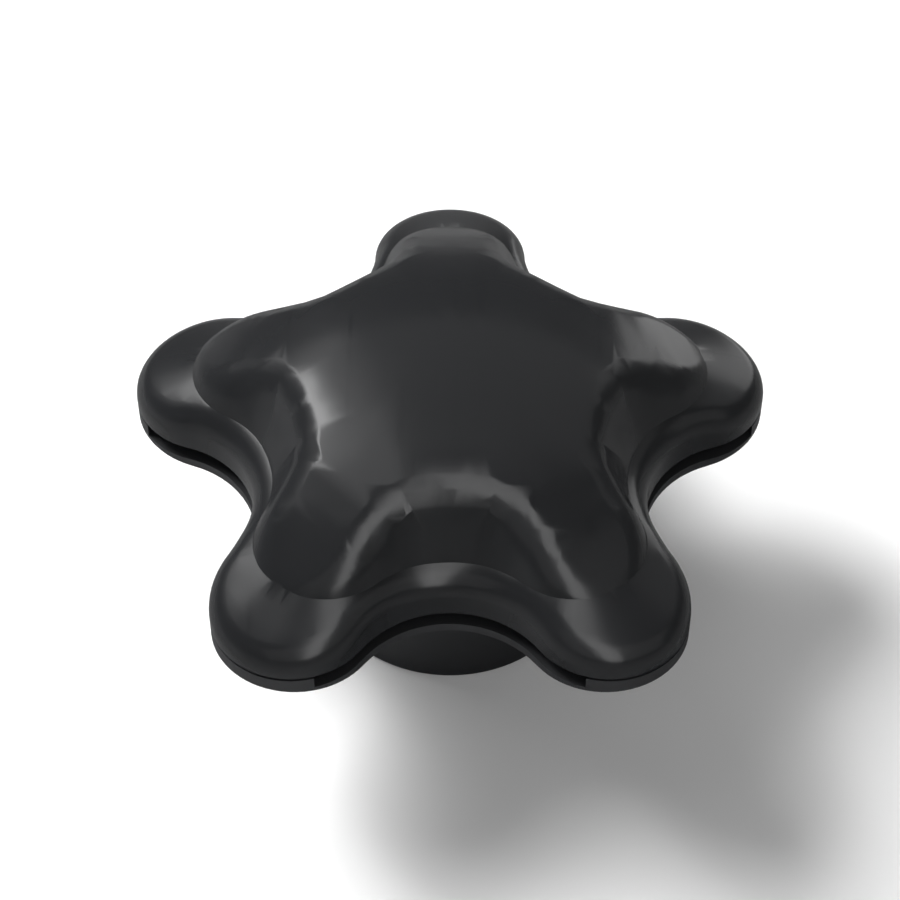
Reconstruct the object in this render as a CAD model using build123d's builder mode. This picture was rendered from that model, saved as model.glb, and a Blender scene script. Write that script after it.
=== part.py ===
"""Five-lobed star knob with a two-part moulding and a brass thread insert.

Frame: millimetres, +Z up, origin on the knob's axis at the foot of the hub.  One lobe points to +Y.
Pieces: grip (rim and crown), hub (base plate, tip tabs and hub) and threaded_insert.
"""
import os
from math import atan2, cos, degrees, radians, sin, tan

from build123d import *

# --- star outline ---------------------------------------------------------------------------------
lobe_count = 5
knob_diameter = 63.0  # circle through the five lobe tips
lobe_radius = 7.55  # rounding of each lobe, seen from above
bay_radius = 19.6  # from the axis to the floor of each finger bay
first_lobe_angle = 90.0  # a lobe points to +Y

# --- rim of the grip ------------------------------------------------------------------------------
crease_height = 4.85  # from the grip's underside up to the crease where the crown rises
rim_slope = 24.5  # degrees, fall of the rim's top from the crease outwards
rim_rounding = 2.8  # roll from the sloping top into the upright side
slope_overlap = 1.5  # the slope runs this far in under the crown

# --- crown of the grip ----------------------------------------------------------------------------
crown_height = 14.25  # from the grip's underside to the top of the dome
dome_radius = 39.3
crown_tip_inset = 6.0  # lobe tip of the rim to lobe tip of the crease
crown_bay_inset = 2.0  # bay floor of the rim to bay floor of the crease
crown_lobe_radius = 6.55
scallop_back = 13.55  # from the axis to the straight back of each scallop, level with the dome's top
ridge_tip = 19.3  # from the axis to the end of each ridge, at the same level
ridge_root_width = 8.15  # across a ridge where the backs of its two scallops meet it
ridge_taper = 9.0  # degrees, each side of a ridge against its middle line
scallop_corner = 1.0  # between a ridge's side and the scallop's back
back_share = 0.30  # part of each bay arc of the crease that the scallop's back rises from
corner_share = 0.60  # the same, with the two corners
ridge_rounding = 4.0  # between the walls and the dome
crown_root = 0.5  # the walls start this far below the crease, inside the rim
dome_clearance = 0.1  # the walls run this far above the dome before it cuts them

# --- base plate and hub ---------------------------------------------------------------------------
hub_height = 16.2  # foot to the underside of the base plate
hub_diameter = 26.2  # at the foot
hub_draft = 1.0  # degrees
hub_edge_rounding = 0.5
hub_root_rounding = 1.5
plate_thickness = 0.95
plate_lift_start = 24.6  # radius from which the plate's underside lifts towards the tips
plate_lift = 0.75  # lift at the tip
joint_height = 1.6  # shadow gap between the base plate and the grip's rim
joint_depth = 3.0  # how far the gap's back wall stands behind the rim
tab_length = 2.3  # tab at each lobe tip, measured in from the tip
tab_clearance = 0.3  # between a tab's top and the rim

# --- locating spigot of the hub in the grip --------------------------------------------------------
spigot_diameter = 23.0
spigot_height = 4.0
spigot_clearance = 0.15

# --- brass insert with a blind M12 thread ----------------------------------------------------------
thread_pitch = 1.75
thread_diameter = 12.0
thread_depth = 16.0
bore_bottom = 1.5  # plain bore below the thread's last turn
insert_end_wall = 1.5
insert_diameter = 17.0
groove_width = 2.4  # retaining groove round the insert
groove_depth = 1.0
countersink_depth = 0.5
countersink_width = 1.05  # opens the bore past the thread's major diameter

# --- derived levels and sizes ----------------------------------------------------------------------
plate_underside = hub_height
plate_top = plate_underside + plate_thickness
grip_underside = plate_top + joint_height
crease_level = grip_underside + crease_height
crown_top = grip_underside + crown_height
tip_radius = knob_diameter / 2
crown_tip_radius = tip_radius - crown_tip_inset
crown_bay_radius = bay_radius - crown_bay_inset
minor_radius = thread_diameter / 2 - 0.5413 * thread_pitch
insert_length = thread_depth + bore_bottom + insert_end_wall
half_step = 180 / lobe_count  # degrees from a lobe's axis to the next bay's
reach = 2 * knob_diameter  # longer than anything it has to pass


def star_geometry(tip, lobe, bay):
    """Bay arc radius, and the half angles of the lobe and bay arcs, for arcs that run smoothly together."""
    lobe_centre = tip - lobe
    towards = lobe_centre * cos(radians(half_step))
    bay_arc = (lobe_centre**2 + bay**2 - 2 * towards * bay - lobe**2) / (2 * (towards + lobe - bay))
    across = (bay + bay_arc) * sin(radians(half_step))
    along = (bay + bay_arc) * cos(radians(half_step)) - lobe_centre
    lobe_half = degrees(atan2(across, along))
    return bay_arc, lobe_half, lobe_half - half_step


def star_arcs(tip, lobe, bay, outset=0.0):
    """Arcs of a star outline, grown by outset about the same arc centres."""
    bay_arc, lobe_half, bay_half = star_geometry(tip, lobe, bay)
    for lobe_index in range(lobe_count):
        angle = first_lobe_angle + lobe_index * 2 * half_step
        bay_angle = angle + half_step
        lobe_at = Vector(tip - lobe, 0).rotate(Axis.Z, angle)
        bay_at = Vector(bay + bay_arc, 0).rotate(Axis.Z, bay_angle)
        CenterArc(lobe_at, lobe + outset, angle - lobe_half, 2 * lobe_half)
        CenterArc(bay_at, bay_arc - outset, bay_angle + 180 + bay_half, -2 * bay_half)


def on_lobe(along, across, side):
    """Point given along and across the lobe beside the +X bay; side is 1 or -1."""
    return Vector(along, -side * across).rotate(Axis.Z, side * half_step)


def crease_bay(level, outset, shares=()):
    """Crease outline round the +X bay, grown by outset and closed at the knob's axis.

    The bay arc is cut at the given shares of its half length, on both sides.
    """
    bay_arc, lobe_half, bay_half = star_geometry(crown_tip_radius, crown_lobe_radius, crown_bay_radius)
    edges = []
    for side in (1, -1):
        edges.append(Line((0, 0), on_lobe(crown_tip_radius + outset, 0, side)))
        lobe_at = on_lobe(crown_tip_radius - crown_lobe_radius, 0, side)
        edges.append(CenterArc(lobe_at, crown_lobe_radius + outset, side * half_step, -side * lobe_half))
    bay_at = (crown_bay_radius + bay_arc, 0)
    cuts = [1, *shares, *(-share for share in reversed(shares)), -1]
    for start, end in zip(cuts, cuts[1:]):
        turn = (start - end) * bay_half
        edges.append(CenterArc(bay_at, bay_arc - outset, 180 - start * bay_half, turn))
    return Wire(edges).moved(Location((0, 0, level)))


def ridge_bay(level):
    """Outline of the crown round the +X bay at its top: tapering ridges and the scallop's straight back."""
    lean = radians(ridge_taper)
    root_y = ridge_root_width / 2
    root_x = (scallop_back - root_y * sin(radians(half_step))) / cos(radians(half_step))
    end_radius = (root_y * cos(lean) - (ridge_tip - root_x) * sin(lean)) / (1 - sin(lean))
    end_at = ridge_tip - end_radius
    side_x, side_y = end_at + end_radius * sin(lean), end_radius * cos(lean)
    edges = [Line(on_lobe(root_x, root_y, 1), on_lobe(root_x, root_y, -1))]
    for side in (1, -1):
        edges.append(Line((0, 0), on_lobe(ridge_tip, 0, side)))
        turn = -side * (90 - ridge_taper)
        edges.append(CenterArc(on_lobe(end_at, 0, side), end_radius, side * half_step, turn))
        edges.append(Line(on_lobe(side_x, side_y, side), on_lobe(root_x, root_y, side)))
    outline = Wire(edges)
    roots = outline.vertices().sort_by(lambda corner: abs(corner.X - scallop_back))[:2]
    return outline.fillet_2d(scallop_corner, roots).moved(Location((0, 0, level)))


# --- crown: ridges with scallops between them, under a round dome, its upper edges rolled over ----------
crown_sector = Solid.make_loft(
    [
        crease_bay(crease_level - crown_root, crown_root / 2, (corner_share, back_share)),
        ridge_bay(crown_top + dome_clearance),
    ],
    ruled=True,
)

with BuildPart() as crown:
    with PolarLocations(0, lobe_count, start_angle=first_lobe_angle + half_step):
        add(crown_sector)
    with Locations((0, 0, crown_top - dome_radius)):
        Sphere(dome_radius, rotation=(0, 0, first_lobe_angle), mode=Mode.INTERSECT)
    fillet(crown.faces().sort_by(Axis.Z)[-1].edges(), ridge_rounding)

# --- grip: rim with its sloping top, the crown and the neck that stands on the base plate ------------
slope_rise = tan(radians(rim_slope))
rim_apron = crown_tip_inset + joint_depth  # carries the slope past the lobe tips
slope_sector = Solid.make_loft(
    [
        crease_bay(grip_underside - rim_apron, rim_apron),
        crease_bay(crease_level - rim_apron * slope_rise, rim_apron),
        crease_bay(crease_level + slope_overlap * slope_rise, -slope_overlap),
    ],
    ruled=True,
)

with BuildPart() as slope:
    with PolarLocations(0, lobe_count, start_angle=first_lobe_angle + half_step):
        add(slope_sector)

with BuildPart() as grip:
    with BuildSketch(Plane.XY.offset(grip_underside)):
        with BuildLine():
            star_arcs(tip_radius, lobe_radius, bay_radius)
        make_face()
    extrude(amount=crown_height)
    add(slope.part, mode=Mode.INTERSECT)
    rim_edges = grip.edges().filter_by(GeomType.LINE, reverse=True).filter_by_position(
        Axis.Z, grip_underside, crease_level, inclusive=(False, False)
    )
    fillet(rim_edges, rim_rounding)
    add(crown.part)
    with BuildSketch(Plane.XY.offset(plate_top)):
        with BuildLine():
            star_arcs(tip_radius, lobe_radius, bay_radius, -joint_depth)
        make_face()
    extrude(amount=joint_height)
    with BuildSketch(Plane.XY.offset(plate_top)):
        Circle(spigot_diameter / 2 + spigot_clearance)
    extrude(amount=spigot_height + spigot_clearance, mode=Mode.SUBTRACT)

# --- threaded insert: turned brass bush with a retaining groove and a blind bore ---------------------
with BuildPart() as threaded_insert:
    with BuildSketch(Plane.YZ):
        Rectangle(insert_diameter / 2, insert_length, align=(Align.MIN, Align.MIN))
        with Locations((insert_diameter / 2, insert_length / 2)):
            Rectangle(2 * groove_depth, groove_width, mode=Mode.SUBTRACT)
    revolve(axis=Axis.Z)
    insert_blank = threaded_insert.part  # the hub's seat is moulded round this shape
    with BuildSketch(Plane.YZ):
        with BuildLine():
            Polyline(
                (0, 0),
                (minor_radius + countersink_width, 0),
                (minor_radius, countersink_depth),
                (minor_radius, thread_depth + bore_bottom),
                (0, thread_depth + bore_bottom),
                close=True,
            )
        make_face()
    revolve(axis=Axis.Z, mode=Mode.SUBTRACT)

# --- hub: base plate with tip tabs, round hub and locating spigot, moulded round the insert ----------
hub_root_radius = hub_diameter / 2 + hub_height * tan(radians(hub_draft))
lift_slope = plate_lift / (tip_radius - plate_lift_start)

with BuildPart() as hub:
    with BuildSketch(Plane.XY.offset(plate_underside)):
        with BuildLine():
            star_arcs(tip_radius, lobe_radius, bay_radius)
        make_face()
    extrude(amount=plate_thickness + joint_height - tab_clearance)
    with BuildSketch(Plane.XY.offset(plate_top)):
        Circle(tip_radius - tab_length)
    extrude(amount=joint_height, mode=Mode.SUBTRACT)
    with BuildSketch(Plane.YZ):
        with BuildLine():
            Polyline(
                (plate_lift_start, plate_underside),
                (reach, plate_underside + (reach - plate_lift_start) * lift_slope),
                (reach, plate_underside),
                close=True,
            )
        make_face()
    revolve(axis=Axis.Z, mode=Mode.SUBTRACT)
    Cone(hub_diameter / 2, hub_root_radius, hub_height, align=(Align.CENTER, Align.CENTER, Align.MIN))
    hub_rings = hub.edges().filter_by(GeomType.CIRCLE)
    fillet(hub_rings.group_by(Axis.Z)[0], hub_edge_rounding)
    hub_rings = hub.edges().filter_by(GeomType.CIRCLE)
    fillet(hub_rings.filter_by(lambda ring: abs(ring.radius - hub_root_radius) < 0.01), hub_root_rounding)
    with BuildSketch(Plane.XY.offset(plate_top)):
        Circle(spigot_diameter / 2)
    extrude(amount=spigot_height)
    add(insert_blank, mode=Mode.SUBTRACT)

grip.part.label = "grip"
hub.part.label = "hub"
threaded_insert.part.label = "threaded_insert"
os.makedirs("parts", exist_ok=True)
export_step(grip.part, "parts/grip.step")
export_step(hub.part, "parts/hub.step")
export_step(threaded_insert.part, "parts/threaded_insert.step")
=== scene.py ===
"""Looks of the star knob: an even skin on the grip, materials, the insert's cut thread, camera and studio.

Metres, +Z up, origin on the knob's axis at the foot of its hub.
"""

import math

import bmesh
import bpy
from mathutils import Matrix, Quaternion, Vector


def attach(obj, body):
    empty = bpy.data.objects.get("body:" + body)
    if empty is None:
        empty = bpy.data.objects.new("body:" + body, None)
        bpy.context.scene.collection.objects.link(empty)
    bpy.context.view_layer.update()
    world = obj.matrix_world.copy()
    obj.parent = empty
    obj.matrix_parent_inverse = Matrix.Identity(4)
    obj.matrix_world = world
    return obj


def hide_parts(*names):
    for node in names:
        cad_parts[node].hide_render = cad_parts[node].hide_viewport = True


MM = 0.001
SHARP_ANGLE = math.radians(25)  # an edge that turns by more than this stays sharp
TURN_STEPS = 96  # sides of a round mesh

# --- grip's skin ------------------------------------------------------------------------------------
JOIN_DISTANCE = 0.001 * MM  # points nearer than this are one point

# --- threaded insert, where sizes across the axis are radii -----------------------------------------
THREAD_PITCH = 1.75 * MM
THREAD_MAJOR = 6.0 * MM
THREAD_MINOR = 5.053 * MM
THREAD_START = 0.5 * MM  # end of the countersink
THREAD_END = 16.0 * MM
THREAD_CREST = 1 / 4  # flat at the minor radius, as a share of the pitch
THREAD_FLANK = 5 / 16
THREAD_ROOT = 1 / 8  # flat at the major radius
PITCH_ROWS = 16  # rows of the thread's mesh to one pitch
BORE_END = 17.5 * MM
COUNTERSINK = 6.103 * MM
INSERT_RADIUS = 8.5 * MM
INSERT_LENGTH = 19.0 * MM
GROOVE_RADIUS = 7.5 * MM
GROOVE_START = 8.3 * MM
GROOVE_END = 10.7 * MM

# --- materials, where a noise's scale is in cells to the metre --------------------------------------
GRIP_COLOUR = (0.0284, 0.0296, 0.0321)
GRIP_ROUGHNESS = 0.23
# Same black plastic as the grip, painted lighter: painted light standing in for the floor light that
# reaches the hub under the grip
HUB_COLOUR_WITH_PAINTED_LIGHT = (0.044, 0.0455, 0.049)
HUB_ROUGHNESS = 0.45
GRAIN_SCALE = 5200
GRAIN_DEPTH = 0.012 * MM
GRAIN_STRENGTH = 0.2
RUBBED_SCALE = 95
RUBBED_CHANGE = 0.035  # in roughness, each way
SCRATCH_SCALE = 900
SCRATCH_STRETCH = (1.0, 0.035, 0.3)
SCRATCH_CHANGE = -0.06  # in roughness
SCRATCH_NOISE = (0.66, 0.74)  # levels of the noise where a scratch begins and where it is full

BRASS_COLOUR = (0.72, 0.49, 0.19)
BRASS_ROUGHNESS = 0.3
TARNISH_SCALE = 260
TARNISH_ROUGHNESS = (0.24, 0.42)
TURNING_SCALE = 2400
TURNING_STRETCH = (0.04, 0.04, 1.0)
TURNING_DEPTH = 0.01 * MM
TURNING_STRENGTH = 0.3

# --- camera -----------------------------------------------------------------------------------------
LOOK_AT = Vector((0, 0, 18.75 * MM))
CAMERA_DISTANCE = 235.4 * MM
CAMERA_TILT = math.radians(48.76)  # below the horizontal
CAMERA_LENS = 99.03
CAMERA_SENSOR = 36.0
CAMERA_SHIFT = -0.001
CAMERA_CLIP = 10 * MM

# --- studio -----------------------------------------------------------------------------------------
WHITE = (1, 1, 1, 1)
LIGHT_DISTANCE = 0.6
FLOOR_RADIUS = 0.2
FLOOR_COLOUR = (0.87, 0.87, 0.87)
FLOOR_ROUGHNESS = 0.9
FLOOR_GLOW = 0.12  # for the camera alone
FLOOR_IN_GLOSS = (0.2, 0.2, 0.2, 1)  # its colour in reflections
LEVEL_BELOW = 0.22  # strength of the surroundings below the horizon
LEVEL_ABOVE = 0.07
HORIZON = 0.02  # half the height over which the one turns into the other, as a sine


def thread_radius(turn, z):
    """Radius of the internal metric thread at a share of a turn and a height."""
    phase = (z / THREAD_PITCH - turn) % 1.0
    if phase < THREAD_CREST:
        share = 0.0
    elif phase < THREAD_CREST + THREAD_FLANK:
        share = (phase - THREAD_CREST) / THREAD_FLANK
    elif phase < THREAD_CREST + THREAD_FLANK + THREAD_ROOT:
        share = 1.0
    else:
        share = (1.0 - phase) / THREAD_FLANK
    return THREAD_MINOR + share * (THREAD_MAJOR - THREAD_MINOR)


def insert_rings():
    """Rings of (radius, height) per angle step, from the insert's top round its outside into the bore."""
    def plain(radius, z):
        return [(radius, z)] * TURN_STEPS

    rings = [
        plain(INSERT_RADIUS, INSERT_LENGTH),
        plain(INSERT_RADIUS, GROOVE_END),
        plain(GROOVE_RADIUS, GROOVE_END),
        plain(GROOVE_RADIUS, GROOVE_START),
        plain(INSERT_RADIUS, GROOVE_START),
        plain(INSERT_RADIUS, 0),
        plain(COUNTERSINK, 0),
    ]
    rows = math.ceil((THREAD_END - THREAD_START) / THREAD_PITCH * PITCH_ROWS)
    for row in range(rows + 1):
        z = THREAD_START + (THREAD_END - THREAD_START) * row / rows
        rings.append([(thread_radius(step / TURN_STEPS, z), z) for step in range(TURN_STEPS)])
    rings.append(plain(THREAD_MINOR, THREAD_END))
    rings.append(plain(THREAD_MINOR, BORE_END))
    return rings


def insert_mesh():
    """Brass insert as one closed skin: outside, groove, foot, countersink, cut thread and blind end."""
    rings = insert_rings()
    vertices = [(0, 0, INSERT_LENGTH)]
    for ring in rings:
        for step, (radius, z) in enumerate(ring):
            angle = 2 * math.pi * step / TURN_STEPS
            vertices.append((radius * math.cos(angle), radius * math.sin(angle), z))
    vertices.append((0, 0, BORE_END))
    faces = []
    for step in range(TURN_STEPS):
        after = (step + 1) % TURN_STEPS
        faces.append((0, 1 + step, 1 + after))
        for index in range(len(rings) - 1):
            near, far = 1 + index * TURN_STEPS, 1 + (index + 1) * TURN_STEPS
            faces.append((near + step, far + step, far + after, near + after))
        last = 1 + (len(rings) - 1) * TURN_STEPS
        faces.append((last + step, len(vertices) - 1, last + after))
    mesh = bpy.data.meshes.new("insert_thread")
    mesh.from_pydata(vertices, [], faces)
    mesh.shade_smooth()
    mesh.set_sharp_from_angle(angle=SHARP_ANGLE)
    return mesh


def principled(name, colour, roughness, metallic=0.0):
    """Material with plain base values and its shader node."""
    material = bpy.data.materials.new(name)
    material.use_nodes = True
    shader = material.node_tree.nodes["Principled BSDF"]
    shader.inputs["Base Color"].default_value = (*colour, 1)
    shader.inputs["Roughness"].default_value = roughness
    shader.inputs["Metallic"].default_value = metallic
    return material, shader


def object_noise(tree, scale, detail=2.0, stretch=(1, 1, 1)):
    """Noise in metres on the object, so its grain has one size on every piece."""
    place = tree.nodes.new("ShaderNodeTexCoord")
    mapping = tree.nodes.new("ShaderNodeMapping")
    mapping.inputs["Scale"].default_value = stretch
    noise = tree.nodes.new("ShaderNodeTexNoise")
    noise.inputs["Scale"].default_value = scale
    noise.inputs["Detail"].default_value = detail
    tree.links.new(place.outputs["Object"], mapping.inputs["Vector"])
    tree.links.new(mapping.outputs["Vector"], noise.inputs["Vector"])
    return noise.outputs["Fac"]


def ranged(tree, value, low, high, from_low=0.3, from_high=0.7):
    """Value mapped from its own range onto low..high; a noise's own range is about 0.3 to 0.7."""
    node = tree.nodes.new("ShaderNodeMapRange")
    node.inputs["From Min"].default_value = from_low
    node.inputs["From Max"].default_value = from_high
    node.inputs["To Min"].default_value = low
    node.inputs["To Max"].default_value = high
    tree.links.new(value, node.inputs["Value"])
    return node.outputs["Result"]


def added(tree, first, second):
    """Sum of two values."""
    node = tree.nodes.new("ShaderNodeMath")
    node.operation = "ADD"
    tree.links.new(first, node.inputs[0])
    tree.links.new(second, node.inputs[1])
    return node.outputs["Value"]


def bumped(tree, shader, height, depth, strength):
    """Bump of a real depth in metres from a height field of 0..1."""
    bump = tree.nodes.new("ShaderNodeBump")
    bump.inputs["Strength"].default_value = strength
    bump.inputs["Distance"].default_value = depth
    tree.links.new(height, bump.inputs["Height"])
    tree.links.new(bump.outputs["Normal"], shader.inputs["Normal"])


def moulded_plastic(name, colour, roughness):
    """Black moulded plastic: fine spark-eroded grain, rubbed patches and hair scratches."""
    material, shader = principled(name, colour, roughness)
    shader.inputs["Specular IOR Level"].default_value = 0.5
    tree = material.node_tree
    grain = object_noise(tree, GRAIN_SCALE, detail=3.0)
    rubbed = object_noise(tree, RUBBED_SCALE)
    scratches = object_noise(tree, SCRATCH_SCALE, detail=1.0, stretch=SCRATCH_STRETCH)
    polish = ranged(tree, rubbed, roughness - RUBBED_CHANGE, roughness + RUBBED_CHANGE)
    marks = ranged(tree, scratches, 0.0, SCRATCH_CHANGE, *SCRATCH_NOISE)
    tree.links.new(added(tree, polish, marks), shader.inputs["Roughness"])
    bumped(tree, shader, grain, GRAIN_DEPTH, GRAIN_STRENGTH)
    return material


def turned_brass(name):
    """Machined brass with fine turning lines and slight tarnish."""
    material, shader = principled(name, BRASS_COLOUR, BRASS_ROUGHNESS, metallic=1.0)
    tree = material.node_tree
    lines = object_noise(tree, TURNING_SCALE, stretch=TURNING_STRETCH)
    tarnish = object_noise(tree, TARNISH_SCALE, detail=3.0)
    tree.links.new(ranged(tree, tarnish, *TARNISH_ROUGHNESS), shader.inputs["Roughness"])
    bumped(tree, shader, lines, TURNING_DEPTH, TURNING_STRENGTH)
    return material


def even_skin(node, name):
    """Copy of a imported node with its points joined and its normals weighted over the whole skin."""
    shape = bmesh.new()
    shape.from_mesh(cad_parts[node].data)
    bmesh.ops.remove_doubles(shape, verts=shape.verts, dist=JOIN_DISTANCE)
    mesh = bpy.data.meshes.new(name)
    shape.to_mesh(mesh)
    shape.free()
    for layer in ("custom_normal", "sharp_face", "sharp_edge"):
        if layer in mesh.attributes:
            mesh.attributes.remove(mesh.attributes[layer])
    mesh.shade_smooth()
    mesh.set_sharp_from_angle(angle=SHARP_ANGLE)
    piece = bpy.data.objects.new(name, mesh)
    bpy.context.scene.collection.objects.link(piece)
    weighted = piece.modifiers.new("weighted_normals", "WEIGHTED_NORMAL")
    weighted.keep_sharp = True
    weighted.mode = "FACE_AREA_WITH_ANGLE"
    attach(piece, "root")
    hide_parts(node)
    return piece


def assign(obj, material):
    """The material on the whole object, in place of those it has."""
    obj.data.materials.clear()
    obj.data.materials.append(material)


def add_insert():
    """Brass insert with its cut thread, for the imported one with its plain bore."""
    insert = bpy.data.objects.new("insert_thread", insert_mesh())
    bpy.context.scene.collection.objects.link(insert)
    assign(insert, turned_brass("insert_brass"))
    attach(insert, "root")
    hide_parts("threaded_insert")


def softbox(name, azimuth, elevation, width, height, radiance, roll=0):
    """Soft lamp aimed at the knob, of an angular size in degrees; azimuth is from +X towards +Y."""
    turn, rise = math.radians(azimuth), math.radians(elevation)
    towards = Vector((math.cos(turn) * math.cos(rise), math.sin(turn) * math.cos(rise), math.sin(rise)))
    light = bpy.data.lights.new(name, "AREA")
    light.shape = "RECTANGLE"
    light.size = 2 * LIGHT_DISTANCE * math.tan(math.radians(width / 2))
    light.size_y = 2 * LIGHT_DISTANCE * math.tan(math.radians(height / 2))
    light.energy = radiance * math.pi * light.size * light.size_y
    lamp = bpy.data.objects.new(name, light)
    lamp.location = LOOK_AT + towards * LIGHT_DISTANCE
    aim = towards.to_track_quat("Z", "Y") @ Quaternion((0, 0, 1), math.radians(roll))
    lamp.rotation_euler = aim.to_euler()
    lamp.visible_camera = False
    bpy.context.scene.collection.objects.link(lamp)
    return lamp


def light_only(lamp, receiver):
    """The lamp lights this object alone; everything still throws its shadow there."""
    receivers = bpy.data.collections.new(lamp.name + "_receivers")
    receivers.objects.link(receiver)
    lamp.light_linking.receiver_collection = receivers


def add_lamps(floor):
    """Key lamp at the back left, its soft edge, fills, and lamps for gloss, diffuse light or the floor."""
    softbox("key", azimuth=147, elevation=44.5, width=9, height=28, radiance=9.8, roll=-40)
    softbox("key_halo", azimuth=143, elevation=53, width=22, height=62, radiance=0.9, roll=-32)
    softbox("overhead", azimuth=90, elevation=58, width=110, height=48, radiance=0.22)
    softbox("back_right", azimuth=52, elevation=7, width=15, height=42, radiance=1.35, roll=27)
    softbox("front_fill", azimuth=-72, elevation=38, width=100, height=50, radiance=0.24)
    front_strip = softbox("front_strip", azimuth=-77, elevation=48, width=21, height=78, radiance=2.25)
    front_strip.visible_diffuse = False
    soft_key = softbox("soft_key", azimuth=146, elevation=43, width=30, height=30, radiance=4.2)
    soft_key.visible_glossy = False
    floor_key = softbox("floor_key", azimuth=136, elevation=41, width=22, height=22, radiance=16)
    light_only(floor_key, floor)


def seen_white(tree, shader_output, strength):
    """Adds light that only the camera sees, so that the ground reads white and keeps its shadow."""
    path = tree.nodes.new("ShaderNodeLightPath")
    glow = tree.nodes.new("ShaderNodeEmission")
    scaled = tree.nodes.new("ShaderNodeMath")
    scaled.operation = "MULTIPLY"
    scaled.inputs[1].default_value = strength
    total = tree.nodes.new("ShaderNodeAddShader")
    tree.links.new(path.outputs["Is Camera Ray"], scaled.inputs[0])
    tree.links.new(scaled.outputs["Value"], glow.inputs["Strength"])
    tree.links.new(shader_output, total.inputs[0])
    tree.links.new(glow.outputs["Emission"], total.inputs[1])
    return total.outputs["Shader"]


def add_floor():
    """Round pale floor, wide enough for the knob's shadow and dim in reflections."""
    mesh = bpy.data.meshes.new("floor")
    turns = [2 * math.pi * step / TURN_STEPS for step in range(TURN_STEPS)]
    rim = [(FLOOR_RADIUS * math.cos(turn), FLOOR_RADIUS * math.sin(turn), 0) for turn in turns]
    mesh.from_pydata(rim, [], [tuple(range(TURN_STEPS))])
    floor = bpy.data.objects.new("floor", mesh)
    bpy.context.scene.collection.objects.link(floor)
    material, shader = principled("floor_white", FLOOR_COLOUR, FLOOR_ROUGHNESS)
    shader.inputs["Specular IOR Level"].default_value = 0.0
    tree = material.node_tree
    dim = tree.nodes.new("ShaderNodeBsdfDiffuse")
    dim.inputs["Color"].default_value = FLOOR_IN_GLOSS
    by_ray = tree.nodes.new("ShaderNodeMixShader")
    path = tree.nodes.new("ShaderNodeLightPath")
    tree.links.new(path.outputs["Is Glossy Ray"], by_ray.inputs["Fac"])
    tree.links.new(seen_white(tree, shader.outputs["BSDF"], FLOOR_GLOW), by_ray.inputs[1])
    tree.links.new(dim.outputs["BSDF"], by_ray.inputs[2])
    tree.links.new(by_ray.outputs["Shader"], tree.nodes["Material Output"].inputs["Surface"])
    assign(floor, material)
    return floor


def add_world():
    """Dim surroundings for the lamps to stand out from, plain white to the camera."""
    world = bpy.data.worlds.new("studio")
    bpy.context.scene.world = world
    world.use_nodes = True
    tree = world.node_tree
    background = tree.nodes["Background"]
    background.inputs["Color"].default_value = WHITE
    place = tree.nodes.new("ShaderNodeTexCoord")
    split = tree.nodes.new("ShaderNodeSeparateXYZ")
    tree.links.new(place.outputs["Generated"], split.inputs["Vector"])
    level = ranged(tree, split.outputs["Z"], LEVEL_BELOW, LEVEL_ABOVE, -HORIZON, HORIZON)
    tree.links.new(level, background.inputs["Strength"])
    seen = tree.nodes.new("ShaderNodeBackground")
    seen.inputs["Color"].default_value = WHITE
    path = tree.nodes.new("ShaderNodeLightPath")
    mix = tree.nodes.new("ShaderNodeMixShader")
    tree.links.new(path.outputs["Is Camera Ray"], mix.inputs["Fac"])
    tree.links.new(background.outputs["Background"], mix.inputs[1])
    tree.links.new(seen.outputs["Background"], mix.inputs[2])
    tree.links.new(mix.outputs["Shader"], tree.nodes["World Output"].inputs["Surface"])


def add_camera():
    """Camera in front of the knob, looking down on it."""
    data = bpy.data.cameras.new("camera")
    data.sensor_width = CAMERA_SENSOR
    data.lens = CAMERA_LENS
    data.shift_y = CAMERA_SHIFT
    data.clip_start = CAMERA_CLIP
    camera = bpy.data.objects.new("camera", data)
    towards = Vector((0, math.cos(CAMERA_TILT), -math.sin(CAMERA_TILT)))
    camera.location = LOOK_AT - towards * CAMERA_DISTANCE
    camera.rotation_euler = (math.pi / 2 - CAMERA_TILT, 0, 0)
    bpy.context.scene.collection.objects.link(camera)
    bpy.context.scene.camera = camera


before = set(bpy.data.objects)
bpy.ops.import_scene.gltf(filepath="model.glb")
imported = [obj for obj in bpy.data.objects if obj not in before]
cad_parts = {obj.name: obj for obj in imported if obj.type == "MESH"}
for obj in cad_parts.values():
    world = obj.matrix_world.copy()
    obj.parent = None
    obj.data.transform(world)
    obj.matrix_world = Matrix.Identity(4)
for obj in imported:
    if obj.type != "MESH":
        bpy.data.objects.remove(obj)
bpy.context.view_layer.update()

grip_skin = even_skin("grip", "grip_skin")
assign(grip_skin, moulded_plastic("grip_plastic", GRIP_COLOUR, GRIP_ROUGHNESS))
# The hub's plastic is a lighter copy of the grip's, with painted light from the floor in its colour
assign(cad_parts["hub"], moulded_plastic("hub_plastic", HUB_COLOUR_WITH_PAINTED_LIGHT, HUB_ROUGHNESS))
add_insert()

floor = add_floor()
add_world()
add_lamps(floor)
add_camera()
bpy.context.scene.view_settings.view_transform = "Standard"
